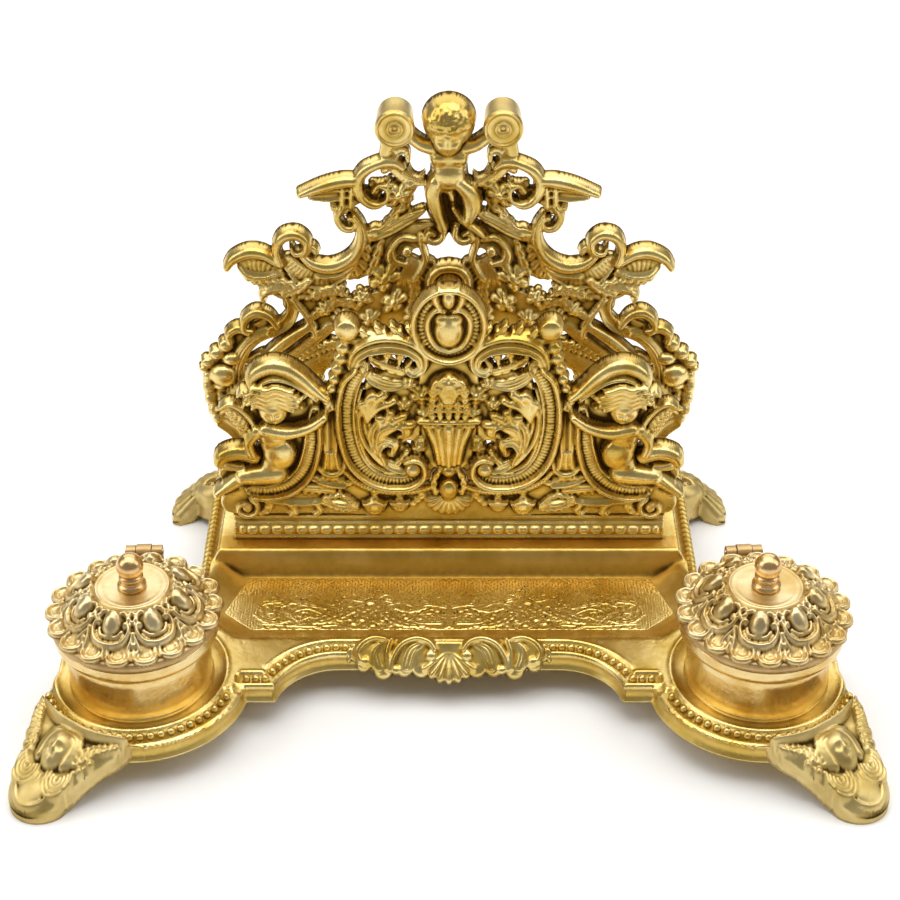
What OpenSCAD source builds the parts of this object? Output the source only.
// Desk inkstand in cast brass: a footed tray base, two ink cups with hinged
// embossed lids, and a letter rack made of two pierced scrollwork panels.
// Millimetres. X runs left to right, Y from front to back, Z up.
// The origin is on the table under the middle of the stand.

/* [Base casting] */
// Half the width of the rack end of the base, outside the rope moulding
base_half_w = 90; // [86:1:96]
// Back edge of the rear feet
rear_y = 94; // [92:0.5:98]
// Height of the rim and its bead border above the table
rim_z = 18; // [16.5:0.5:20]
// Height of the lower edge of the skirt above the table
skirt_z = 10; // [8:0.5:11]
// Thickness of the skirt around the underside
skirt_t = 2.4; // [1.8:0.1:3]
// Thickness of the cast top
plate_t = 2.6; // [2:0.1:3]
// Half the width of the straight middle of the front edge
front_half_w = 38; // [34:1:42]
// Depth of the front edge in front of the origin
front_y = -33; // [-35:0.5:-31]
// Radius of the hollow curve on each side of the front edge
front_hollow_r = 22; // [20:0.5:23]
// Front corner of the block between the hollow and the cup ring
front_corner_y = -49.5; // [-51:0.5:-47]

/* [Pen tray] */
// Height of the tray floor
tray_z = 12.5; // [12:0.25:13.5]
// Half the width of the tray floor across its widest point
tray_half_w = 80; // [74:1:81]
// How far the cut corners come in from the widest point
tray_corner = 10; // [6:1:14]
// Front edge of the tray floor
tray_front_y = -18; // [-20:0.5:-16]
// Widest point of the tray floor, front to back
tray_wide_y = -2; // [-6:1:2]
// Back edge of the tray floor, where the slope starts
tray_back_y = 14; // [10:1:16]

/* [Rack platform] */
// Height of the platform that carries the letter rack
platform_z = 22; // [20.5:0.5:24]
// Front edge of the platform
platform_front_y = 28; // [26:0.5:29]
// Back edge of the platform
platform_back_y = 82; // [78:1:84]
// Width of the flat strip beside the platform that carries the rope moulding
side_strip_w = 6; // [5:0.5:7]
// Radius of the rope moulding
rope_r = 1.5; // [1:0.1:2]

/* [Cup seats] */
// Distance of each cup from the middle of the stand
cup_x = 104.5; // [102:0.5:108]
// Cup centre, front to back
cup_y = -39; // [-41:0.5:-37]
// Outer radius of the round seat
seat_r = 36.3; // [35:0.1:38]
// Radius of the seat's inner lip
seat_lip_r = 28.7; // [27.5:0.1:30]
// Depth of the seat below the rim
seat_drop = 1.5; // [1:0.1:2]
// Radius of the bead border on the seat
bead_ring_r = 32.7; // [32:0.1:34]
// Radius of a bead
bead_r = 1.3; // [1:0.05:1.6]

/* [Feet] */
// Direction of the front feet, in degrees from the left-right line
front_foot_angle = 57; // [52:1:60]
// Reach of a front foot from the cup's centre
front_foot_reach = 62.5; // [60:0.5:65]
// Radius of the rolled tip of a front foot
front_tip_r = 8.5; // [7:0.5:10]
// Radius of the root of a front foot
front_root_r = 18; // [16:0.5:20]
// Height of a front foot's brow above the rim
brow_rise = 2.5; // [1:0.5:4]
// Length of the sole that rests on the table
sole_l = 12; // [8:1:16]
// How far a rear foot reaches out past the base's side
rear_foot_out = 17; // [14:1:20]
// Radius of a rear foot's shell
rear_foot_r = 9.5; // [8:0.5:11]
// Height of a rear foot where it leaves the base
rear_foot_h = 16; // [14:0.5:18]

/* [Ink cups] */
// Outer radius of a cup's body
cup_r = 24.6; // [23.5:0.1:25.2]
// Height of a cup
cup_h = 24.5; // [22:0.5:28]
// Radius of the rounded rim
cup_rim_r = 27.2; // [26.6:0.1:28]
// Height of the rounded rim
cup_rim_h = 3.6; // [3:0.1:5]
// Wall thickness
cup_wall = 1.6; // [1.2:0.1:2]
// Floor thickness
cup_floor = 3; // [2.5:0.1:4]
// Depth of the groove round the neck
cup_neck = 0.7; // [0.3:0.1:1]

/* [Glass liners] */
// Gap between a liner and its cup
liner_gap = 0.4; // [0.2:0.1:1]
// Wall thickness of a liner
liner_wall = 1.8; // [1.2:0.1:2.5]
// Gap between a liner's top and the lid's spigot
liner_top_gap = 0.8; // [0.5:0.1:3]

/* [Lids] */
// Height of the turned ring under the lid
ring_h = 2.6; // [2.2:0.1:3.2]
// Depth of the spigot that reaches into the cup
spigot_h = 2.2; // [1.5:0.1:3]
// Gap between the spigot and the cup's wall
spigot_gap = 0.6; // [0.5:0.05:1]
// Outer radius of the scalloped edge
scallop_tip_r = 31; // [30:0.1:31.5]
// Number of scallops
scallops = 18; // [14:1:22]
// Thickness of the stamped shell
shell_t = 1.2; // [1:0.1:1.5]
// Height of the dome above the scalloped edge
dome_h = 10.6; // [9:0.1:12]
// Radius of the flat disc on top
disc_r = 12; // [11:0.1:13]
// Number of bosses round the dome
bosses = 8; // [6:1:10]
// Radius of a boss
boss_r = 3.4; // [2.5:0.1:3.8]

/* [Knobs] */
// Radius of the knob's ball
knob_r = 4.5; // [4:0.1:5.5]
// Radius of the knob's foot
knob_foot_r = 4.8; // [4.5:0.1:6]
// Height of the knob's foot
knob_foot_h = 1.4; // [1:0.1:2]
// Height of the knob's neck
knob_neck_h = 3; // [1.5:0.1:4]
// Radius of the knob's threaded stem
stem_r = 1.5; // [1.2:0.1:2]
// Radius of the nut under the lid, across its corners
knob_nut_r = 3.2; // [2.8:0.1:4]
// Height of the nut under the lid
knob_nut_h = 2; // [1.5:0.1:3]

/* [Lid hinges] */
// Distance of the hinge axis from the cup's centre
hinge_y = 33.4; // [33:0.1:35]
// Radius of the hinge pin
pin_r = 1; // [0.8:0.05:1.2]
// Running clearance round the pin, in the lid's knuckle
pin_gap = 0.05; // [0.02:0.01:0.1]
// Length of the lid's knuckle
lid_knuckle_l = 5; // [4:0.5:7]
// Radius of the lid's knuckle
lid_knuckle_r = 2.7; // [2.5:0.1:3]
// Length of each of the cup's knuckles
cup_knuckle_l = 3.4; // [2.5:0.1:5]
// Radius of the cup's knuckles
cup_knuckle_r = 2.3; // [2:0.1:2.4]
// Gap between knuckles
knuckle_gap = 0.35; // [0.2:0.05:0.6]
// Turn of the left cup on its seat, counter-clockwise
left_turn = 2; // [-10:1:10]
// Turn of the right cup on its seat, counter-clockwise
right_turn = 4; // [-10:1:10]

/* [Letter rack] */
// Middle of the front panel, front to back
front_panel_y = 33.3; // [33:0.1:35]
// Middle of the back panel, front to back
back_panel_y = 66; // [62:0.5:69]
// Thickness of a panel's pierced plate
panel_t = 3.4; // [2.6:0.2:4]
// Height of the carved work in front of the plate
relief_h = 2.6; // [1.6:0.2:3.2]
// Depth of a panel's foot rail, front to back
rail_d = 7.4; // [7:0.2:8]
// Height of a panel's foot rail
rail_h = 7; // [6:0.5:8]
// Half the length of a panel's foot rail
rail_half_l = 79; // [76:1:82]
// How much narrower the carved work is than the plate behind it, on each side
relief_inset = 1.1; // [0.8:0.1:1.4]
// Height of the leafy base that fills the carving above the front rail
front_base_h = 7.5; // [6:0.5:9]
// Height of the plain band above the back rail
back_base_h = 4; // [3:0.5:6]
// Half the width of the rib behind the middle of the back panel
rib_half_w = 2.4; // [2:0.1:3]
// Distance of each drum from the middle of the back panel
drum_x = 18.3; // [17.5:0.1:19]
// Height of a drum's axis above the table
drum_z = 172.4; // [170:0.2:174]
// Radius of a drum
drum_r = 6.8; // [6:0.1:7.2]
// Length of a drum, front to back
drum_l = 14; // [10:0.5:16]

/* [Screws] */
// Radius of the screw shanks
screw_r = 1.5; // [1.2:0.1:1.8]
// Gap round a shank where it passes through the base
screw_gap = 0.2; // [0.1:0.05:0.4]
// Radius of the screw heads
head_r = 3.2; // [2.8:0.1:4]
// Height of the screw heads
head_h = 1.8; // [1.2:0.1:2.2]
// How far a rack screw enters its rail
screw_bite = 5; // [4:0.5:5.5]
// Distance between neighbouring rack screws
screw_pitch = 62; // [50:1:70]

/* [Hidden] */

BRASS = [0.80, 0.62, 0.26];
ROSE_BRASS = [0.78, 0.54, 0.30];
GLASS = [0.80, 0.90, 0.88, 0.5];
STEEL = [0.62, 0.62, 0.60];
SIDES = [-1, 1];
EPS = 0.01;
$fn = 64;

seat_z = rim_z - seat_drop;
cup_top_z = seat_z + cup_h;
cup_bore_r = cup_r - cup_neck - cup_wall;
cup_floor_z = seat_z + cup_floor;
ring_top_z = cup_top_z + ring_h;
hinge_z = ring_top_z - 0.4;
spigot_r = cup_bore_r - spigot_gap;
spigot_wall = 1.4;
liner_top_z = cup_top_z - spigot_h - liner_top_gap;
disc_z = ring_top_z + shell_t + dome_h;
scallop_band_r = scallop_tip_r / (1 + 1.06 * sin(180 / scallops));
scallop_r = scallop_tip_r - scallop_band_r;
platform_half_w = base_half_w - side_strip_w;
plate_under_z = rim_z - plate_t;
relief_front = panel_t / 2 + relief_h;
screw_xs = [-screw_pitch, 0, screw_pitch];
hinge_half_l = lid_knuckle_l / 2 + knuckle_gap + cup_knuckle_l;
dome_edge_r = cup_rim_r - 0.8;
dome_top_r = disc_r + 1.4;
boss_ring_r = (dome_edge_r + disc_r) / 2;
roll_outer_r = bead_ring_r + bead_r;

// Half the angle that one scallop's arc spans round its own centre
lobe_half = 90 + 180 / scallops - acos(scallop_band_r * sin(180 / scallops) / scallop_r);

// Half of the front panel's carving: bands of [x, z, half width] points from the middle out
FRONT_BANDS = [
  // Oval frame, from its lower volute up, and the leaf that curls over its top
  [[11.5, 52, 1.2], [11.5, 55, 1.6], [8, 55.8, 1.8], [5.6, 52.5, 2], [7, 48, 2.4], [12, 45.6, 2.8],
   [19, 46.2, 3.1], [26.5, 50.5, 3.4], [31.8, 59, 3.5], [34, 70, 3.5], [33.6, 80, 3.4],
   [31, 88.5, 3.2], [27.5, 95.5, 3]],
  [[28, 94, 2.5], [25.5, 100, 3.2], [19, 103.2, 3.2], [12, 102.5, 2.6], [7.6, 99, 2],
   [7, 95.3, 1.7], [9.8, 93.3, 1.5], [12.2, 95.2, 1.2]],
  // Rope under the oval
  [[34, 51.5, 1.8], [28, 45, 1.8], [20, 41.2, 1.9], [11, 40.6, 1.9], [4, 43.5, 2.2]],
  // Pilaster, outer frame, crest over the figure and its lower edge
  [[40, 53.5, 3.2], [40, 64, 3.3], [40, 77, 3.4]],
  [[42.5, 79, 2.2], [44.5, 72, 2.8], [45.6, 62, 3.3], [48.5, 52, 3.4], [54.5, 44.5, 3.4],
   [62, 40.8, 3.2], [69, 40.6, 3]],
  [[65.5, 88, 2], [63.5, 93.5, 2.6], [58, 96.8, 3], [52, 94.6, 3], [47.5, 89, 2.8],
   [43.5, 82, 2.4], [41, 77, 2]],
  [[42, 79, 2], [47.5, 73.8, 2.4], [55, 70.8, 2.6], [62.5, 69.5, 2.4]],
  // Seated child: body, legs, arm and the torch it holds
  [[60, 80, 4], [58.5, 68, 5], [57, 58, 6], [61, 50, 5.4]],
  [[62, 48.5, 5.2], [70, 47, 4.6], [77, 43.5, 3.4], [82.5, 40.5, 2.4]],
  [[79.5, 57.5, 3.6], [71, 57.5, 4.2], [64, 56, 4.5]],
  [[77.5, 79.5, 2.2], [74, 76, 3], [70.5, 70, 3.2], [69, 60, 3]],
  [[73, 77, 1.6], [66, 80.5, 2], [60, 81, 2.4]],
  // Husks down the shoulder and the leaf arm to the cartouche
  [[33.5, 109, 3.2], [33.5, 101, 3.2], [35.5, 93, 3], [39, 86.5, 3], [42, 81, 2.6]],
  [[33, 107, 2.6], [26, 108.5, 3.4], [18, 107.5, 3.2], [11, 108, 3]],
  // Acanthus curls inside the oval, and the spray over them
  [[16, 51.5, 2.2], [23.5, 54.5, 2.4], [28.3, 62, 2.4], [29.2, 71, 2.2], [28, 78, 2.2],
   [24, 82.2, 2.2], [19.5, 81, 2], [19, 77.5, 1.7], [22, 76, 1.4]],
  [[28, 63, 2], [25.5, 70, 2.2], [19.5, 73, 2.2], [14, 71, 2], [12.5, 67, 1.7], [15, 65, 1.4]],
  [[27, 59, 2], [22.5, 64.5, 2], [17.5, 63.8, 1.8], [14.5, 60, 1.6], [15.5, 56, 1.4], [19, 56.2, 1.2]],
  [[27, 93, 1.6], [20.5, 88, 2.2], [12, 84, 2.6], [5, 82, 3]],
  [[13, 71, 1.8], [9, 74, 2.4], [4, 76, 3]],
  // Leaves over the rail
  [[67, 38, 2], [57, 35.6, 3], [46, 37.5, 2.6], [38, 38.5, 2.8], [30, 38, 2.4]],
  [[26, 37, 2.2], [14, 37.5, 2.4], [4, 39, 2.6]]
];
// Discs of [x, z, radius] that fill out the same half
FRONT_DISCS = [
  [0, 90, 8], [0, 81, 6.8], [0, 44, 4.4], [0, 36.5, 7.2], [34.5, 113.5, 4.7], [36.5, 103.5, 2.8],
  [36, 97.5, 2.5], [38.5, 92, 2.3], [73.8, 34, 5.6], [36, 37, 5], [26.5, 34.8, 3.9], [18, 35, 3.2],
  [55, 33.6, 3.2], [59.5, 84, 7.2], [54, 90, 4]
];
// Rounded masses of [x, z, radius] that stand proud of the same half
FRONT_BALLS = [
  [59.5, 84, 6.6], [58, 66, 4.6], [57.5, 57, 5.2], [63, 49, 4.8], [71, 46.6, 3.9], [79, 58, 3.4],
  [71, 58, 3.8], [34.5, 113.5, 4.3], [26.5, 34.8, 3.4], [18, 35, 2.8], [36, 37, 4.3]
];
FRONT_MIDDLE_BALLS = [[0, 90, 6.6], [0, 44, 3.6], [0, 112, 5.6]];

// Half of the back panel's carving, from the middle out
BACK_BANDS = [
  // Child's leg and arm
  [[2, 148, 4], [5.5, 143, 3.8], [8, 137, 3], [5, 131.5, 2.2]],
  [[3, 163.5, 3], [9, 165.5, 2.7], [14, 169, 3]],
  // Support of the drum, pointed arm and its scroll
  [[20, 149, 3.4], [18.5, 157, 3], [21.5, 162, 3.2], [19.5, 168, 4]],
  [[22, 151, 3], [28, 152.5, 4.2], [36, 148.5, 4], [44, 146, 3.6], [51, 145, 2.8]],
  [[30, 154, 2.4], [35.5, 149, 2.6], [35, 142.5, 2.6], [29.5, 138.8, 2.4], [24, 141, 2.2],
   [22.5, 146, 2], [25.5, 150, 1.8], [29.5, 149, 1.6], [30.5, 145.5, 1.4]],
  [[41, 141, 2], [38, 135.2, 2.4], [33.6, 134.8, 2.2], [33, 138.4, 2]],
  // Hollow scroll at the shoulder and the curl that ends it
  [[31, 139, 2.4], [28.5, 133, 3.4], [29.3, 126, 3.8], [33, 120.5, 4], [40, 117.6, 4.2],
   [47.5, 119.5, 3.8], [52.5, 125, 3.4]],
  [[52, 122, 2.4], [57.8, 126, 2.6], [58.3, 132, 2.6], [54, 134, 2.4], [50.5, 131, 2.2],
   [51.6, 126.8, 1.8], [55.2, 127.6, 1.4]],
  [[52, 128, 2.6], [46.8, 126.5, 2.6]],
  // Griffin: crest, head, beak, neck and breast
  [[59, 122, 3], [65, 124.5, 3], [72, 124.8, 2.6], [78, 122, 2.2], [80, 119, 1.6]],
  [[58, 113, 5], [66, 116.5, 6], [71.5, 115.5, 4.5]],
  [[60, 108, 4.6], [65.5, 106, 3.2], [65, 103.6, 1.8]],
  [[57, 106, 3], [59, 97, 3.4], [65, 91.8, 3.4], [74, 88.5, 3.4], [82, 84, 4.4], [86.5, 77, 5.2],
   [87.5, 69, 5], [88.2, 61, 4], [86.4, 53, 3.2], [84, 48.5, 2.4]],
  [[62, 95, 2.2], [67, 98, 2.4], [72, 97.4, 2.2], [75, 94, 2], [72.4, 92.2, 1.8]],
  [[74, 91, 3], [79.5, 90.5, 2.8]],
  // Feathered band across, the bars and the hollow scroll under them
  [[60, 112, 4.8], [50, 110.5, 5], [40, 110.5, 4.8], [30, 113, 4.4], [22, 115, 5]],
  [[58.5, 105, 2.2], [52, 96, 2.2], [47.5, 88.5, 2.2]],
  [[62, 81, 2.6], [68, 84.5, 3], [75, 80, 3.2], [78.5, 73, 3.2], [78.5, 64, 3], [74, 56, 3], [64, 50, 3]],
  [[68, 79, 2.8], [60, 83.5, 3.2], [52, 88, 3.2], [45, 93, 3]],
  [[62, 78, 2.6], [52, 80, 4], [43, 84, 4.4], [38, 93, 4.4], [34, 100, 4]],
  // Flower swag and shell
  [[24, 112, 3.4], [25, 106, 4.6], [21, 100, 4.6], [12, 97, 4]],
  [[44, 108, 3.2], [38, 102, 3.6], [30, 99, 3.8], [20, 98, 3.8]],
  [[17, 126, 4], [16, 117, 6.4], [15, 108, 5]],
  // Drapery under the child
  [[1, 129, 4.4], [10, 128.5, 3.6], [18, 130, 3.6], [27, 131, 3.6]],
  [[15, 151, 3.2], [13, 143, 3.4], [16, 137, 3.2], [19, 130, 3.2]],
  // Lower scrolls between the rail and the griffins
  [[58, 31, 3], [65, 38, 3.2], [65, 50, 3.4], [56, 59.5, 3.4], [46, 62, 3], [38.5, 57.5, 2.6],
   [38.5, 51, 2.2], [43, 48, 1.8]],
  [[2, 58, 3.4], [13, 65, 3.4], [23, 76, 3.4], [31, 88, 3.4], [36, 97, 3.2]],
  [[5, 32, 3], [16, 36, 3.2], [25, 45, 3.2], [26.5, 55, 3], [20, 62, 2.6], [14, 60, 2.2], [15, 54.5, 1.8]],
  [[68, 31, 3], [75, 39, 3.2], [80, 47, 3.2], [85, 51, 3]],
  [[46, 62, 3], [49, 71, 3.2], [45, 82, 3.4]]
];
BACK_DISCS = [
  [0, 174.5, 8.6], [0, 166, 5.6], [0, 157, 6.8], [0, 150, 6.4], [0, 117, 6.2], [0, 104, 5.4], [0, 92, 6],
  [0, 80, 5], [0, 68, 6.4], [0, 55, 5.4], [0, 43, 6.2], [0, 34, 5], [18.3, 172.4, 6]
];
BACK_BALLS = [
  [54.4, 130, 4.2], [67, 116, 5.4], [84.5, 72, 5], [83, 83, 4], [25, 106, 4], [19, 99.5, 4],
  [35, 136.4, 2.8], [70, 95, 3.2], [78.5, 90.8, 2.8], [28.5, 145.5, 3], [87, 60, 3.6]
];
BACK_MIDDLE_BALLS = [[0, 175, 8], [0, 157, 6], [0, 150, 5.8], [0, 117, 5.8]];

// ---- curves -------------------------------------------------------------------------

// A point of the smooth curve through p0..p3, between p1 and p2
function between(p0, p1, p2, p3, t) =
  0.5 * (2 * p1 + (p2 - p0) * t + (2 * p0 - 5 * p1 + 4 * p2 - p3) * t * t
         + (3 * p1 - p0 - 3 * p2 + p3) * t * t * t);

// The same list of [x, z, half width] points, with n points to each stretch
function smooth(p, n = 2) = concat(
  [for (i = [0:len(p) - 2], k = [0:n - 1])
    between(p[max(i - 1, 0)], p[i], p[i + 1], p[min(i + 2, len(p) - 1)], k / n)],
  [p[len(p) - 1]]);

// Unit vector across the line from a to b
function across(a, b) = let (d = [b[0] - a[0], b[1] - a[1]]) [-d[1], d[0]] / max(norm(d), 0.001);

// One carved band along [x, z, half width] points, narrowed by trim on each side
module band(points, trim = 0) {
  p = smooth(points);
  last = len(p) - 1;
  edge = [for (i = [0:last]) across(p[max(i - 1, 0)], p[min(i + 1, last)]) * max(p[i][2] - trim, 0.4)];
  mid = [for (q = p) [q[0], q[1]]];
  for (i = [0:last - 1])
    polygon([mid[i] + edge[i], mid[i + 1] + edge[i + 1], mid[i + 1] - edge[i + 1], mid[i] - edge[i]]);
  for (i = [0, last]) translate(mid[i]) circle(norm(edge[i]), $fn = 8);
}

// Discs at [x, z, radius], narrowed by trim
module discs(list, trim = 0)
  for (d = list) if (d[2] - trim > 0.4) translate([d[0], d[1]]) circle(d[2] - trim, $fn = 16);

// A shape and its mirror image across the middle of the stand
module both() {
  children();
  mirror([1, 0, 0]) children();
}

// Stands a flat drawing up between two Y planes
module upright(y0, y1)
  translate([0, y1, 0]) rotate([90, 0, 0]) linear_extrude(y1 - y0) children();

// ---- base casting -------------------------------------------------------------------

module base_plan() {
  difference() {
    union() {
      translate([-base_half_w, front_corner_y / 3]) square([2 * base_half_w, platform_back_y - front_corner_y / 3]);
      translate([-cup_x + seat_r * 0.9, front_corner_y])
        square([2 * (cup_x - seat_r * 0.9), -front_corner_y]);
    }
    for (s = SIDES) translate([s * front_half_w, front_y - front_hollow_r]) circle(front_hollow_r);
    translate([-front_half_w, front_corner_y - 1])
      square([2 * front_half_w, front_y - front_corner_y + 1]);
  }
  for (s = SIDES) translate([s * cup_x, cup_y]) circle(seat_r);
}

module tray_plan() polygon([
  [-tray_half_w + tray_corner, tray_front_y], [tray_half_w - tray_corner, tray_front_y],
  [tray_half_w, tray_wide_y], [tray_half_w - tray_corner / 1.6, tray_back_y],
  [-tray_half_w + tray_corner / 1.6, tray_back_y], [-tray_half_w, tray_wide_y]
]);

// Section of the slope and platform, drawn in Y and Z
module platform_section() polygon([
  [tray_back_y - 2, skirt_z], [tray_back_y - 2, tray_z], [tray_back_y, tray_z],
  [tray_back_y + 6, tray_z + 1.4], [platform_front_y - 4, (tray_z + platform_z) / 2 + 0.8],
  [platform_front_y, platform_z], [platform_back_y, platform_z], [platform_back_y, skirt_z]
]);

module along_x(half_l) rotate([90, 0, 90]) translate([0, 0, -half_l]) linear_extrude(2 * half_l) children();

module front_foot() {
  tip = front_foot_reach - front_tip_r;
  root = seat_r - front_root_r + 6;
  translate([cup_x, cup_y, 0]) rotate([0, 0, -front_foot_angle]) intersection() {
    linear_extrude(rim_z + brow_rise) hull() {
      translate([root, 0]) circle(front_root_r);
      translate([tip - 4, 5]) circle(front_tip_r);
      translate([tip, -2]) circle(front_tip_r);
    }
    rotate([90, 0, 0]) translate([0, 0, -40]) linear_extrude(80) polygon([
      [seat_lip_r + 1, skirt_z], [seat_lip_r + 1, rim_z - 1], [roll_outer_r + 0.7, rim_z - 1],
      [roll_outer_r + 1.2, rim_z + brow_rise],
      [seat_r + 5, rim_z + brow_rise], [tip - 6, rim_z - 5.5], [tip + 1, 9.5],
      [front_foot_reach - 2, 7], [front_foot_reach, 3.5], [front_foot_reach, 1], [front_foot_reach - 1, 0],
      [front_foot_reach - sole_l, 0], [front_foot_reach - sole_l - 3, 2.5], [seat_r + 2, skirt_z - 2]
    ]);
  }
}

module rear_foot() {
  shell = [base_half_w + rear_foot_out - rear_foot_r, rear_y - rear_foot_r];
  intersection() {
    linear_extrude(rear_foot_h) union() {
      translate(shell) circle(rear_foot_r);
      translate([shell[0] - 2, shell[1] - 10]) circle(rear_foot_r);
      translate([base_half_w - 12, platform_back_y - 16]) square([14, 16]);
      translate([base_half_w - 4, platform_back_y - 4]) circle(10);
    }
    translate([0, platform_back_y - 30, 0]) rotate([90, 0, 0]) translate([0, 0, -50]) linear_extrude(100) polygon([
      [base_half_w - 14, skirt_z], [base_half_w - 14, rear_foot_h], [base_half_w + 2, rear_foot_h],
      [shell[0] + 2, 10], [shell[0] + rear_foot_r, 5], [shell[0] + rear_foot_r, 0],
      [shell[0] - 6, 0], [base_half_w - 1, skirt_z - 3]
    ]);
  }
}

// Seat border beads, drawn as one round roll from the inner corner round the outside
module seat_roll() rotate([0, 0, -160]) rotate_extrude(angle = 290)
  translate([bead_ring_r, 0]) circle(bead_r, $fn = 16);

// Rope moulding along the side of the base
module side_rope() translate([base_half_w - rope_r, 8, rim_z]) rotate([-90, 0, 0])
  cylinder(r = rope_r, h = platform_back_y - 10, $fn = 24);

// Shell and scrolls in the middle of the front edge
module front_scrollwork() upright(front_y - 2.5, front_y + 7) offset(r = -1) offset(r = 1) intersection() {
  union() {
    discs([[0, rim_z - 3.5, 7.8], [9, rim_z - 2.5, 5], [-9, rim_z - 2.5, 5]]);
    for (x = [-27, -18, 18, 27]) translate([x, rim_z - 3]) circle(5.5, $fn = 24);
  }
  translate([-40, skirt_z - 1.5]) square([80, rim_z - skirt_z + 4]);
}

module base_casting() color(BRASS) {
  difference() {
    union() {
      translate([0, 0, skirt_z]) linear_extrude(rim_z - skirt_z) base_plan();
      along_x(platform_half_w) platform_section();
      both() front_foot();
      both() rear_foot();
      front_scrollwork();
      both() translate([cup_x, cup_y, rim_z]) seat_roll();
      both() side_rope();
    }
    translate([0, 0, tray_z]) linear_extrude(rim_z) tray_plan();
    translate([0, 0, tray_z]) linear_extrude(rim_z) translate([-tray_half_w + tray_corner, tray_wide_y])
      square([2 * (tray_half_w - tray_corner), tray_back_y - tray_wide_y + EPS]);
    // Hollow under the rack platform
    translate([-platform_half_w + skirt_t, platform_front_y + 1, skirt_z - 1])
      cube([2 * (platform_half_w - skirt_t), platform_back_y - platform_front_y - 1 - skirt_t,
            platform_z - plate_t - skirt_z + 1]);
    for (s = SIDES) translate([s * cup_x, cup_y, 0]) {
      translate([0, 0, seat_z]) cylinder(r1 = cup_r + 0.4, r2 = seat_lip_r, h = seat_drop);
      translate([0, 0, rim_z]) cylinder(r = seat_lip_r, h = 10);
      translate([0, 0, skirt_z - 1]) cylinder(r = seat_lip_r - 2, h = seat_z - plate_t - skirt_z + 1);
      cylinder(r = screw_r + screw_gap, h = rim_z);
    }
    for (x = screw_xs, y = [front_panel_y, back_panel_y])
      translate([x, y, 0]) cylinder(r = screw_r + screw_gap, h = platform_z + 1);
  }
}

// ---- letter rack --------------------------------------------------------------------

// Fills the narrow corners of a drawing, as molten metal leaves them
module run_out() offset(delta = -0.6) offset(delta = 0.6, chamfer = true) children();

// Both halves of a carving, narrowed by trim
module carving(bands, fills, trim) both() {
  for (b = bands) band(b, trim);
  discs(fills, trim);
}

module balls(list, y) for (b = list) translate([b[0], y, b[1]]) sphere(r = b[2], $fn = 32);

// Foot rail with the tapped holes of its screws
module rail(y) {
  translate([-rail_half_l, y - rail_d / 2, platform_z]) cube([2 * rail_half_l, rail_d, rail_h]);
  translate([-rail_half_l, y - rail_d / 2, platform_z + rail_h / 2]) rotate([0, 90, 0])
    cylinder(r = rail_h / 4, h = 2 * rail_half_l, $fn = 24);
}

module rail_holes(y) for (x = screw_xs) translate([x, y, platform_z - 1])
  cylinder(r = screw_r, h = screw_bite + 1.4, $fn = 32);

// Solid band of the plate just above a rail
module rail_band(h) translate([-rail_half_l + 4, platform_z + rail_h - 1]) square([2 * rail_half_l - 8, h + 1]);

module front_panel() color(BRASS) difference() {
  union() {
    rail(front_panel_y);
    upright(front_panel_y - panel_t / 2, front_panel_y + panel_t / 2) run_out() {
      carving(FRONT_BANDS, FRONT_DISCS, 0);
      front_middle(0);
      rail_band(front_base_h);
    }
    upright(front_panel_y - relief_front, front_panel_y - panel_t / 2) run_out() {
      carving(FRONT_BANDS, FRONT_DISCS, relief_inset);
      front_middle(relief_inset);
    }
    both() balls(FRONT_BALLS, front_panel_y - relief_h);
    balls(FRONT_MIDDLE_BALLS, front_panel_y - relief_h);
    translate([0, front_panel_y - panel_t / 2, 0]) rotate_extrude() polygon([
      [0, 54], [3.6, 55], [4.6, 60], [7.2, 70], [8.2, 74], [8.2, 75.6], [0, 75.6]
    ]);
  }
  rail_holes(front_panel_y);
}

// Cartouche and urn in the middle of the front panel
module front_middle(trim) {
  translate([0, 115]) scale([1, 1.14]) circle(13.4 - trim, $fn = 48);
  polygon([[-9.5 + trim, 76], [9.5 - trim, 76], [7, 64], [4.6, 54], [4.2, 44], [-4.2, 44], [-4.6, 54], [-7, 64]]);
}

module back_panel() color(BRASS) difference() {
  union() {
    rail(back_panel_y);
    upright(back_panel_y - panel_t / 2, back_panel_y + panel_t / 2) run_out() {
      carving(BACK_BANDS, BACK_DISCS, 0);
      translate([-rib_half_w, platform_z]) square([2 * rib_half_w, 150 - platform_z]);
      rail_band(back_base_h);
    }
    upright(back_panel_y - relief_front, back_panel_y - panel_t / 2) run_out()
      carving(BACK_BANDS, BACK_DISCS, relief_inset);
    both() balls(BACK_BALLS, back_panel_y - relief_h);
    balls(BACK_MIDDLE_BALLS, back_panel_y - relief_h / 2);
    both() translate([drum_x, back_panel_y + 6, drum_z]) rotate([90, 0, 0])
      cylinder(r = drum_r, h = drum_l);
  }
  rail_holes(back_panel_y);
}

module rack_screws(y) color(STEEL) for (x = screw_xs) translate([x, y, platform_z - plate_t]) {
  translate([0, 0, -head_h]) cylinder(r = head_r, h = head_h);
  translate([0, 0, -EPS]) cylinder(r = screw_r, h = plate_t + screw_bite);
}

module front_panel_screws() rack_screws(front_panel_y);
module back_panel_screws() rack_screws(back_panel_y);

// ---- cups, lids and hinges, drawn round the cup's own centre ------------------------

module at_cup(side, turn) translate([side * cup_x, cup_y, 0]) rotate([0, 0, turn]) children();
module at_left() at_cup(-1, left_turn) children();
module at_right() at_cup(1, right_turn) children();

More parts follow.
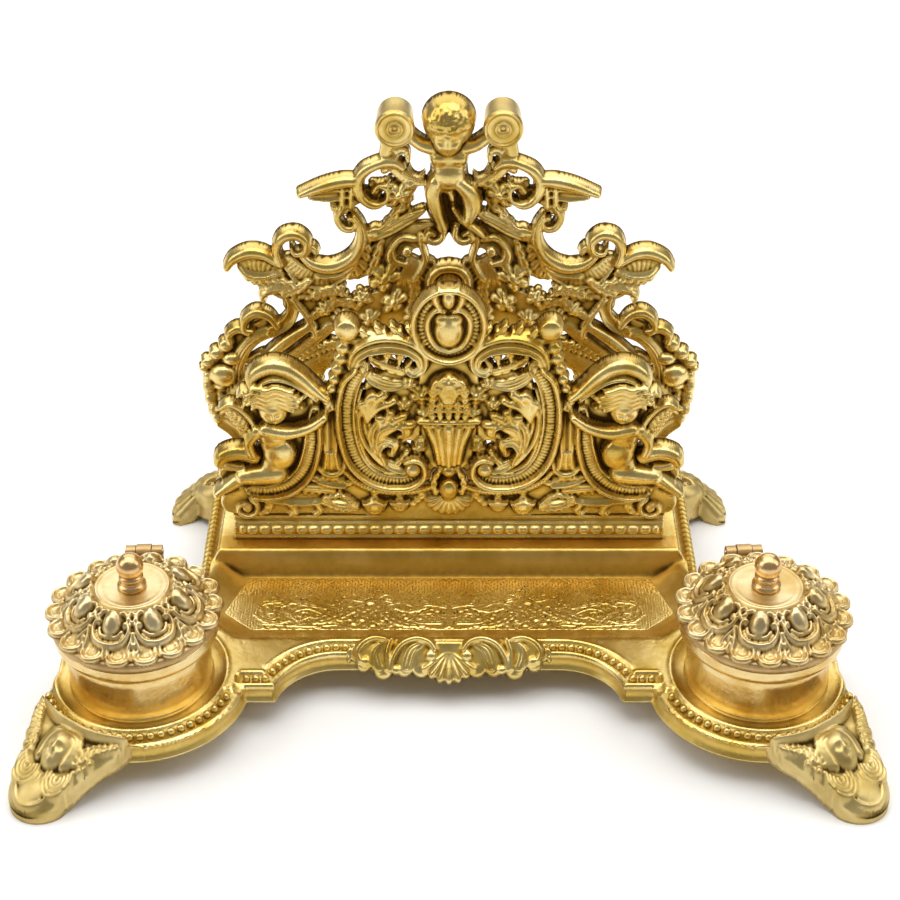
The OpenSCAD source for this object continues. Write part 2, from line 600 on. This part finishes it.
module cup() color(BRASS) difference() {
  translate([0, 0, seat_z]) rotate_extrude() polygon([
    [0, 0], [cup_r, 0], [cup_r, 1], [cup_r - 0.4, 1.6], [cup_r - 0.4, cup_h - cup_rim_h - 6],
    [cup_r - cup_neck, cup_h - cup_rim_h - 3.4], [cup_r, cup_h - cup_rim_h - 1],
    [cup_rim_r - 0.6, cup_h - cup_rim_h + 0.2], [cup_rim_r, cup_h - cup_rim_h + 1],
    [cup_rim_r, cup_h - 0.8], [cup_rim_r - 0.7, cup_h],
    [cup_bore_r, cup_h], [cup_bore_r, cup_floor], [0, cup_floor]
  ]);
  translate([0, 0, seat_z - 1]) cylinder(r = screw_r, h = cup_floor - 0.4 + 1);
}

module cup_screw() color(STEEL) {
  translate([0, 0, seat_z - plate_t - head_h]) cylinder(r = head_r, h = head_h);
  translate([0, 0, seat_z - plate_t - EPS]) cylinder(r = screw_r, h = plate_t + cup_floor - 0.6);
}

module liner() color(GLASS) translate([0, 0, cup_floor_z]) difference() {
  cylinder(r = cup_bore_r - liner_gap, h = liner_top_z - cup_floor_z);
  translate([0, 0, liner_wall]) cylinder(r = cup_bore_r - liner_gap - liner_wall, h = cup_h);
}

module lid_ring_body() rotate_extrude() polygon([
  [spigot_r - spigot_wall, cup_top_z - spigot_h], [spigot_r, cup_top_z - spigot_h], [spigot_r, cup_top_z],
  [cup_rim_r - 0.4, cup_top_z], [cup_rim_r + 0.7, cup_top_z + 0.8], [cup_rim_r + 0.9, cup_top_z + 1.4],
  [cup_rim_r + 0.5, ring_top_z - 0.5], [cup_rim_r - 0.2, ring_top_z], [spigot_r - spigot_wall, ring_top_z]
]);

module lid_ring() color(ROSE_BRASS) lid_ring_body();

// Section of the dome, from the scalloped edge to the flat disc, raised by t
function dome_section(t) = concat(
  [for (u = [0:0.2:1])
    [dome_edge_r + u * (dome_top_r - dome_edge_r), ring_top_z + t + 0.3 + (dome_h - 1.2) * sin(90 * u)]],
  [[disc_r, ring_top_z + t + dome_h], [0, ring_top_z + t + dome_h]]);

// Outline of the scalloped edge: an arc for each lobe, from one notch to the next
function scallop_outline() = [for (i = [0:scallops - 1], k = [-3:3])
  let (a = (i + 0.5) * 360 / scallops, b = a + k / 3 * lobe_half)
    [scallop_band_r * cos(a) + scallop_r * cos(b), scallop_band_r * sin(a) + scallop_r * sin(b)]];

module lid_shell() color(BRASS) difference() {
  union() {
    rotate_extrude() polygon(concat(
      [[0, ring_top_z], [scallop_band_r + 1, ring_top_z], [scallop_band_r + 1, ring_top_z + shell_t]],
      dome_section(shell_t)));
    translate([0, 0, ring_top_z]) linear_extrude(shell_t) polygon(scallop_outline());
    for (i = [0:bosses - 1]) rotate([0, 0, (i + 0.5) * 360 / bosses])
      translate([boss_ring_r, 0, ring_top_z + dome_h * 0.62]) sphere(r = boss_r, $fn = 32);
  }
  // Hollow under the dome, the hole for the knob and the notch for the hinge
  rotate_extrude() polygon(concat(
    [[0, ring_top_z - 1], [cup_rim_r - 2, ring_top_z - 1], [cup_rim_r - 2, ring_top_z]],
    [for (q = dome_section(0)) [max(q[0] - 0.8, 0), q[1]]]));
  cylinder(r = stem_r, h = 100);
  translate([-hinge_half_l - 1, hinge_y - lid_knuckle_r - 1, ring_top_z - 1])
    cube([2 * hinge_half_l + 2, 10, 10]);
}

module across_hinge(x0, l, r) translate([x0, hinge_y, hinge_z]) rotate([0, 90, 0]) cylinder(r = r, h = l, $fn = 32);

module hinge_bracket() color(BRASS) difference() {
  union() {
    translate([-hinge_half_l, cup_r - 3, cup_top_z - 13]) cube([2 * hinge_half_l, hinge_y - cup_r + 2, 6]);
    for (s = SIDES) {
      x0 = s > 0 ? hinge_half_l - cup_knuckle_l : -hinge_half_l;
      across_hinge(x0, cup_knuckle_l, cup_knuckle_r);
      translate([x0, hinge_y - 3.6, cup_top_z - 12]) cube([cup_knuckle_l, 5.4, hinge_z - cup_top_z + 12]);
    }
  }
  translate([0, 0, seat_z]) cylinder(r = cup_r - 0.4, h = cup_h);
  translate([0, 0, cup_top_z - cup_rim_h - 3]) cylinder(r = cup_rim_r + 1.4, h = 20);
  across_hinge(-20, 40, pin_r);
}

module hinge_leaf() color(BRASS) difference() {
  union() {
    across_hinge(-lid_knuckle_l / 2, lid_knuckle_l, lid_knuckle_r);
    translate([-lid_knuckle_l / 2, cup_rim_r - 2, cup_top_z + 0.5])
      cube([lid_knuckle_l, hinge_y - cup_rim_r + 1, ring_top_z - cup_top_z - 0.5]);
  }
  lid_ring_body();
  across_hinge(-20, 40, pin_r + pin_gap);
}

module hinge_pin() color(STEEL) across_hinge(-hinge_half_l - 0.4, 2 * hinge_half_l + 0.8, pin_r);

module knob() color(ROSE_BRASS) {
  foot_top = disc_z + knob_foot_h;
  rotate_extrude() polygon([
    [0, disc_z], [knob_foot_r - 0.3, disc_z], [knob_foot_r, disc_z + 0.4], [knob_foot_r, foot_top - 0.4],
    [knob_foot_r - 0.5, foot_top], [knob_foot_r - 1, foot_top + 0.4], [knob_r - 1.2, foot_top + knob_neck_h],
    [0, foot_top + knob_neck_h]
  ]);
  translate([0, 0, foot_top + knob_neck_h + knob_r - 0.9]) sphere(r = knob_r);
  translate([0, 0, disc_z - shell_t - knob_nut_h - 0.8]) cylinder(r = stem_r, h = shell_t + knob_nut_h + 1);
}

module knob_nut() color(STEEL) translate([0, 0, disc_z - shell_t - knob_nut_h]) difference() {
  cylinder(r = knob_nut_r, h = knob_nut_h, $fn = 6);
  translate([0, 0, -1]) cylinder(r = stem_r, h = knob_nut_h + 2);
}

module left_cup() at_left() cup();
module left_cup_screw() at_left() cup_screw();
module left_liner() at_left() liner();
module left_hinge_bracket() at_left() hinge_bracket();
module left_hinge_pin() at_left() hinge_pin();
module left_lid_shell() at_left() lid_shell();
module left_lid_ring() at_left() lid_ring();
module left_hinge_leaf() at_left() hinge_leaf();
module left_knob() at_left() knob();
module left_knob_nut() at_left() knob_nut();
module right_cup() at_right() cup();
module right_cup_screw() at_right() cup_screw();
module right_liner() at_right() liner();
module right_hinge_bracket() at_right() hinge_bracket();
module right_hinge_pin() at_right() hinge_pin();
module right_lid_shell() at_right() lid_shell();
module right_lid_ring() at_right() lid_ring();
module right_hinge_leaf() at_right() hinge_leaf();
module right_knob() at_right() knob();
module right_knob_nut() at_right() knob_nut();

base_casting();
front_panel();
back_panel();
front_panel_screws();
back_panel_screws();
left_cup();
left_cup_screw();
left_liner();
left_hinge_bracket();
left_hinge_pin();
left_lid_shell();
left_lid_ring();
left_hinge_leaf();
left_knob();
left_knob_nut();
right_cup();
right_cup_screw();
right_liner();
right_hinge_bracket();
right_hinge_pin();
right_lid_shell();
right_lid_ring();
right_hinge_leaf();
right_knob();
right_knob_nut();
